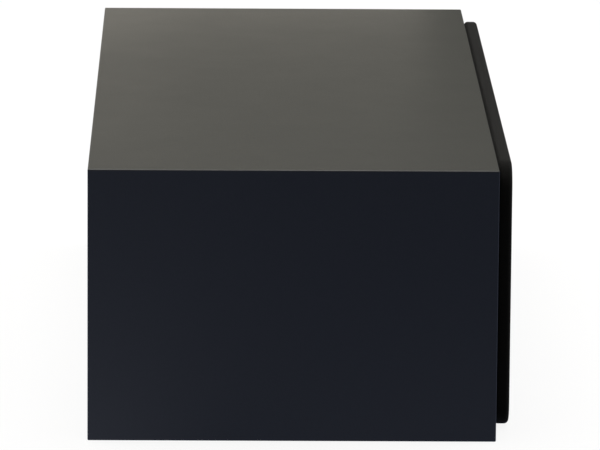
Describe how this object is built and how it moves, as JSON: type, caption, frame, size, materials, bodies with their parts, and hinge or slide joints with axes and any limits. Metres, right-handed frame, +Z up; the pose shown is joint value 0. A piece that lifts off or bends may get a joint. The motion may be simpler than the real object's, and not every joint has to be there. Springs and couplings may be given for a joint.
{
  "type": "centre channel loudspeaker",
  "caption": "Long low loudspeaker cabinet in black vinyl with a pull-off cloth grille on its front, woofers either side of a dome tweeter, rear bass ports and binding posts.",
  "frame": {"origin": "middle of the cabinet's base, in the plane that it stands on; the grille is left out of the depth that it is the middle of", "axes": "+X along the cabinet, to the right of a listener in front; -Y out of the front, where the grille is; +Z up"},
  "size_m": [0.585, 0.2594, 0.169],
  "materials": {
    "black_vinyl": "fibreboard wrapped in satin black vinyl",
    "black_baffle": "fibreboard wrapped in fine-grain black vinyl",
    "raw_fibreboard": "bare medium-density fibreboard",
    "polyester_wadding": "white polyester wadding",
    "black_steel": "black powder coat and black oxide",
    "black_rubber": "matt butyl rubber",
    "spider_cloth": "resin-dipped corrugated cotton",
    "plated_steel": "zinc plate",
    "ferrite": "sintered ferrite",
    "black_plastic": "fine-textured moulding",
    "cone_black": "black mineral-filled polypropylene",
    "coil_former": "rolled former with a copper winding",
    "dome_silk": "coated silk",
    "tab_brass": "tinned spade tabs on a fibre strip",
    "grille_cloth": "open black acoustic knit",
    "gold_brass": "gold plate",
    "circuit_board": "phenolic board",
    "copper_coil": "enamelled copper windings",
    "capacitor_film": "film capacitors in yellow wrap",
    "cement_resistor": "white cement",
    "red_insulation": "soft PVC insulation",
    "black_insulation": "soft PVC insulation",
    "red_plastic": "glossy moulding",
    "black_gloss": "glossy moulding"
  },
  "bodies": {
    "cabinet": {"top_panel": "black_vinyl", "bottom_panel": "black_vinyl", "left_end_panel": "black_vinyl", "right_end_panel": "black_vinyl", "front_baffle": "black_baffle", "rear_panel": "black_baffle", "left_brace": "raw_fibreboard", "right_brace": "raw_fibreboard", "left_damping_mat": "polyester_wadding", "right_damping_mat": "polyester_wadding", "left_woofer_basket": "black_steel", "left_woofer_trim_ring": "black_rubber", "left_woofer_surround": "black_rubber", "left_woofer_spider": "spider_cloth", "left_woofer_top_plate": "plated_steel", "left_woofer_yoke": "plated_steel", "left_woofer_magnet": "ferrite", "left_port_tube": "black_plastic", "right_woofer_basket": "black_steel", "right_woofer_trim_ring": "black_rubber", "right_woofer_surround": "black_rubber", "right_woofer_spider": "spider_cloth", "right_woofer_top_plate": "plated_steel", "right_woofer_yoke": "plated_steel", "right_woofer_magnet": "ferrite", "right_port_tube": "black_plastic", "tweeter_faceplate": "black_plastic", "terminal_cup": "black_plastic", "post_bushes": "black_plastic", "tweeter_surround": "dome_silk", "tweeter_front_plate": "plated_steel", "tweeter_yoke": "plated_steel", "tweeter_magnet": "ferrite", "driver_terminals": "tab_brass", "wood_screws": "black_steel", "grille_sockets": "black_rubber", "positive_post": "gold_brass", "negative_post": "gold_brass", "post_nuts": "gold_brass", "crossover_board": "circuit_board", "crossover_coils": "copper_coil", "crossover_capacitors": "capacitor_film", "crossover_resistors": "cement_resistor", "red_wires": "red_insulation", "black_wires": "black_insulation"},
    "left_cone_assembly": {"left_woofer_cone": "cone_black", "left_woofer_dust_cap": "cone_black", "left_woofer_voice_coil": "coil_former"},
    "right_cone_assembly": {"right_woofer_cone": "cone_black", "right_woofer_dust_cap": "cone_black", "right_woofer_voice_coil": "coil_former"},
    "dome_assembly": {"tweeter_dome": "dome_silk", "tweeter_voice_coil": "coil_former"},
    "grille": {"grille_frame": "black_plastic", "grille_pegs": "black_plastic", "grille_cloth": "grille_cloth"},
    "positive_ring": {"positive_cap_ring": "red_plastic"},
    "positive_cap": {"positive_post_cap": "black_gloss"},
    "negative_ring": {"negative_cap_ring": "black_gloss"},
    "negative_cap": {"negative_post_cap": "black_gloss"}
  },
  "joints": [
    {"name": "grille_pull", "type": "slide", "parent": "cabinet", "child": "grille", "axis": [0, -1, 0], "range_m": [0, 0.05]},
    {"name": "left_cone_travel", "type": "slide", "parent": "cabinet", "child": "left_cone_assembly", "axis": [0, -1, 0], "range_m": [-0.004, 0.004], "stiffness_N_per_m": 800, "deforming": ["left_woofer_surround", "left_woofer_spider"]},
    {"name": "right_cone_travel", "type": "slide", "parent": "cabinet", "child": "right_cone_assembly", "axis": [0, -1, 0], "range_m": [-0.004, 0.004], "stiffness_N_per_m": 800, "deforming": ["right_woofer_surround", "right_woofer_spider"]},
    {"name": "dome_travel", "type": "slide", "parent": "cabinet", "child": "dome_assembly", "axis": [0, -1, 0], "range_m": [-0.0005, 0.0005], "stiffness_N_per_m": 100, "deforming": ["tweeter_surround"]},
    {"name": "positive_cap_rise", "type": "slide", "parent": "cabinet", "child": "positive_ring", "axis": [0, 1, 0], "range_m": [0, 0.0042]},
    {"name": "positive_cap_turn", "type": "hinge", "parent": "positive_ring", "child": "positive_cap", "pos_m": [0.00953, 0.11, 0.0845], "axis": [0, 1, 0], "range_deg": [0, 2160]},
    {"name": "negative_cap_rise", "type": "slide", "parent": "cabinet", "child": "negative_ring", "axis": [0, 1, 0], "range_m": [0, 0.0042]},
    {"name": "negative_cap_turn", "type": "hinge", "parent": "negative_ring", "child": "negative_cap", "pos_m": [-0.00953, 0.11, 0.0845], "axis": [0, 1, 0], "range_deg": [0, 2160]}
  ],
  "couplings": [
    {"joint": "positive_cap_turn", "follows": "positive_cap_rise", "rad_per_m": 8976},
    {"joint": "negative_cap_turn", "follows": "negative_cap_rise", "rad_per_m": 8976}
  ]
}
